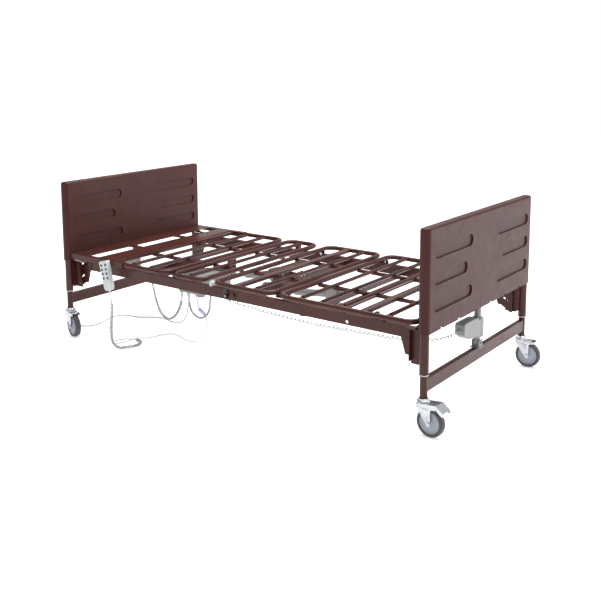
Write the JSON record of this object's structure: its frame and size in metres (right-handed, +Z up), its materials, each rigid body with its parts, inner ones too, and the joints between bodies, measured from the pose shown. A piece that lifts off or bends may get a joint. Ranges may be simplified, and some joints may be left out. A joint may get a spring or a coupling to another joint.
{
  "type": "adjustable hospital bed",
  "caption": "Adjustable homecare bed: hinged slatted deck on a rail frame between two moulded end panels, telescopic castered legs, electric actuators, handset and cords.",
  "frame": {"origin": "on the floor at the middle of the bed's outer box", "axes": "+X towards the foot end, +Y towards the occupant's left side, +Z up"},
  "size_m": [2.5658, 1.1098, 0.882],
  "materials": {
    "brown_paint": "semi-gloss dark brown powder coat",
    "brown_plastic": "moulded brown polymer with a slight sheen",
    "zinc_steel": "bright zinc-plated steel",
    "chrome": "polished piston rod",
    "white_nylon": "white nylon",
    "black_rubber": "black rubber buffer",
    "black_plastic": "black moulded plastic",
    "dark_rubber": "dark blue-grey keypad rubber",
    "grey_plastic": "light grey actuator housing",
    "pale_plastic": "pale grey handset plastic",
    "clear_plastic": "bluish translucent plastic",
    "grey_tyre": "grey non-marking tread on a pale hub",
    "pale_cord": "pale grey PVC cord",
    "grey_cord": "light grey coiled PVC cord"
  },
  "bodies": {
    "frame": {"side_rails": "brown_paint", "frame_cross_tubes": "brown_paint", "corner_brackets": "brown_paint", "bracket_hooks": "zinc_steel", "leg_sleeves": "brown_paint", "nylon_bushes": "white_nylon", "foot_panel": "brown_plastic", "head_panel": "brown_plastic", "hinge_brackets": "brown_paint", "pins_and_bolts": "zinc_steel", "rubber_bumpers": "black_rubber", "hilo_rods": "chrome", "control_box": "grey_plastic", "power_box": "brown_paint", "seat_loop": "brown_paint", "seat_slats": "brown_paint", "pendant": "pale_plastic", "pendant_curl": "pale_cord", "pendant_lead": "pale_cord", "lead_connector": "clear_plastic", "mains_cord": "pale_cord", "mains_coil": "pale_cord", "mains_plug": "pale_plastic", "cord_loop_small": "grey_cord", "cord_loop_large": "grey_cord", "foot_motor_cord": "grey_cord"},
    "latch_right": {"rail_latch_right": "black_plastic"},
    "latch_left": {"rail_latch_left": "black_plastic"},
    "back_section": {"back_plate": "brown_paint", "back_loop": "brown_paint", "back_slats": "brown_paint"},
    "thigh_section": {"thigh_loop": "brown_paint", "thigh_slats": "brown_paint"},
    "calf_section": {"calf_loop": "brown_paint", "calf_slats": "brown_paint"},
    "back_actuator": {"back_motor": "grey_plastic"},
    "back_actuator_rod": {"back_rod": "zinc_steel"},
    "knee_actuator": {"knee_motor": "grey_plastic"},
    "knee_actuator_rod": {"knee_rod": "zinc_steel"},
    "head_leg_set": {"head_legs": "brown_paint", "head_hilo_motor": "grey_plastic"},
    "foot_leg_set": {"foot_legs": "brown_paint", "foot_hilo_motor": "grey_plastic"},
    "pedal": {"brake_pedal": "zinc_steel"},
    "foot_right_swivel": {"foot_right_fork": "zinc_steel"},
    "foot_right_roller": {"foot_right_wheel": "grey_tyre"},
    "foot_left_swivel": {"foot_left_fork": "zinc_steel"},
    "foot_left_roller": {"foot_left_wheel": "grey_tyre"},
    "head_right_swivel": {"head_right_fork": "zinc_steel"},
    "head_right_roller": {"head_right_wheel": "grey_tyre"},
    "head_left_swivel": {"head_left_fork": "zinc_steel"},
    "head_left_roller": {"head_left_wheel": "grey_tyre"},
    "button_up_1_key": {"button_up_1": "dark_rubber"},
    "button_down_1_key": {"button_down_1": "dark_rubber"},
    "button_up_2_key": {"button_up_2": "dark_rubber"},
    "button_down_2_key": {"button_down_2": "dark_rubber"},
    "button_up_3_key": {"button_up_3": "dark_rubber"},
    "button_down_3_key": {"button_down_3": "dark_rubber"},
    "button_up_4_key": {"button_up_4": "dark_rubber"},
    "button_down_4_key": {"button_down_4": "dark_rubber"}
  },
  "joints": [
    {"name": "back_raise", "type": "hinge", "parent": "frame", "child": "back_section", "pos_m": [-0.4294, 0, 0.444], "axis": [0, 1, 0], "range_deg": [0, 60]},
    {"name": "thigh_raise", "type": "hinge", "parent": "frame", "child": "thigh_section", "pos_m": [-0.0914, 0, 0.444], "axis": [0, -1, 0], "range_deg": [0, 30]},
    {"name": "calf_fold", "type": "hinge", "parent": "thigh_section", "child": "calf_section", "pos_m": [0.2886, 0, 0.444], "axis": [0, 1, 0], "range_deg": [0, 45]},
    {"name": "back_actuator_tilt", "type": "hinge", "parent": "frame", "child": "back_actuator", "pos_m": [-0.0844, 0.07, 0.4], "axis": [0, 1, 0], "range_deg": [0, 13]},
    {"name": "back_actuator_stroke", "type": "slide", "parent": "back_actuator", "child": "back_actuator_rod", "axis": [-0.9839, 0, -0.1789], "range_m": [0, 0.084]},
    {"name": "knee_actuator_tilt", "type": "hinge", "parent": "frame", "child": "knee_actuator", "pos_m": [0.3756, -0.05, 0.385], "axis": [0, 1, 0], "range_deg": [0, 4]},
    {"name": "knee_actuator_stroke", "type": "slide", "parent": "knee_actuator", "child": "knee_actuator_rod", "axis": [-0.9927, 0, -0.1209], "range_m": [-0.057, 0]},
    {"name": "head_height", "type": "slide", "parent": "frame", "child": "head_leg_set", "axis": [0, 0, -1], "range_m": [0, 0.175]},
    {"name": "foot_height", "type": "slide", "parent": "frame", "child": "foot_leg_set", "axis": [0, 0, -1], "range_m": [0, 0.175]},
    {"name": "latch_right_turn", "type": "hinge", "parent": "frame", "child": "latch_right", "pos_m": [-0.0374, -0.4723, 0.404], "axis": [0, -1, 0], "range_deg": [0, 80]},
    {"name": "latch_left_turn", "type": "hinge", "parent": "frame", "child": "latch_left", "pos_m": [-0.0374, 0.4723, 0.404], "axis": [0, -1, 0], "range_deg": [0, 80]},
    {"name": "foot_right_swivel_turn", "type": "hinge", "parent": "foot_leg_set", "child": "foot_right_swivel", "pos_m": [1.0906, -0.515, 0.15], "axis": [0, 0, 1], "continuous": true},
    {"name": "foot_right_wheel_spin", "type": "hinge", "parent": "foot_right_swivel", "child": "foot_right_roller", "pos_m": [1.12852, -0.51752, 0.0635], "axis": [0.0663, 0.9978, 0], "continuous": true},
    {"name": "foot_left_swivel_turn", "type": "hinge", "parent": "foot_leg_set", "child": "foot_left_swivel", "pos_m": [1.0906, 0.515, 0.15], "axis": [0, 0, 1], "continuous": true},
    {"name": "foot_left_wheel_spin", "type": "hinge", "parent": "foot_left_swivel", "child": "foot_left_roller", "pos_m": [1.12852, 0.51752, 0.0635], "axis": [-0.0663, 0.9978, 0], "continuous": true},
    {"name": "head_right_swivel_turn", "type": "hinge", "parent": "head_leg_set", "child": "head_right_swivel", "pos_m": [-1.1794, -0.515, 0.15], "axis": [0, 0, 1], "continuous": true},
    {"name": "head_right_wheel_spin", "type": "hinge", "parent": "head_right_swivel", "child": "head_right_roller", "pos_m": [-1.1427, -0.52484, 0.0635], "axis": [0.2588, 0.9659, 0], "continuous": true},
    {"name": "head_left_swivel_turn", "type": "hinge", "parent": "head_leg_set", "child": "head_left_swivel", "pos_m": [-1.1794, 0.515, 0.15], "axis": [0, 0, 1], "continuous": true},
    {"name": "head_left_wheel_spin", "type": "hinge", "parent": "head_left_swivel", "child": "head_left_roller", "pos_m": [-1.1427, 0.52484, 0.0635], "axis": [-0.2588, 0.9659, 0], "continuous": true},
    {"name": "brake_press", "type": "hinge", "parent": "foot_right_swivel", "child": "pedal", "pos_m": [1.09659, -0.5154, 0.1365], "axis": [0.0663, 0.9978, 0], "range_deg": [0, 10]},
    {"name": "button_up_1_press", "type": "slide", "parent": "frame", "child": "button_up_1_key", "axis": [0, 1, 0], "range_m": [0, 0.0009], "stiffness_N_per_m": 300},
    {"name": "button_down_1_press", "type": "slide", "parent": "frame", "child": "button_down_1_key", "axis": [0, 1, 0], "range_m": [0, 0.0009], "stiffness_N_per_m": 300},
    {"name": "button_up_2_press", "type": "slide", "parent": "frame", "child": "button_up_2_key", "axis": [0, 1, 0], "range_m": [0, 0.0009], "stiffness_N_per_m": 300},
    {"name": "button_down_2_press", "type": "slide", "parent": "frame", "child": "button_down_2_key", "axis": [0, 1, 0], "range_m": [0, 0.0009], "stiffness_N_per_m": 300},
    {"name": "button_up_3_press", "type": "slide", "parent": "frame", "child": "button_up_3_key", "axis": [0, 1, 0], "range_m": [0, 0.0009], "stiffness_N_per_m": 300},
    {"name": "button_down_3_press", "type": "slide", "parent": "frame", "child": "button_down_3_key", "axis": [0, 1, 0], "range_m": [0, 0.0009], "stiffness_N_per_m": 300},
    {"name": "button_up_4_press", "type": "slide", "parent": "frame", "child": "button_up_4_key", "axis": [0, 1, 0], "range_m": [0, 0.0009], "stiffness_N_per_m": 300},
    {"name": "button_down_4_press", "type": "slide", "parent": "frame", "child": "button_down_4_key", "axis": [0, 1, 0], "range_m": [0, 0.0009], "stiffness_N_per_m": 300}
  ],
  "couplings": [
    {"joint": "calf_fold", "follows": "thigh_raise", "ratio": 1.493},
    {"joint": "back_actuator_tilt", "follows": "back_raise", "ratio": 0.20845},
    {"joint": "back_actuator_stroke", "follows": "back_raise", "m_per_rad": 0.076352},
    {"joint": "knee_actuator_tilt", "follows": "thigh_raise", "ratio": 0.12915},
    {"joint": "knee_actuator_stroke", "follows": "thigh_raise", "m_per_rad": -0.10383}
  ]
}
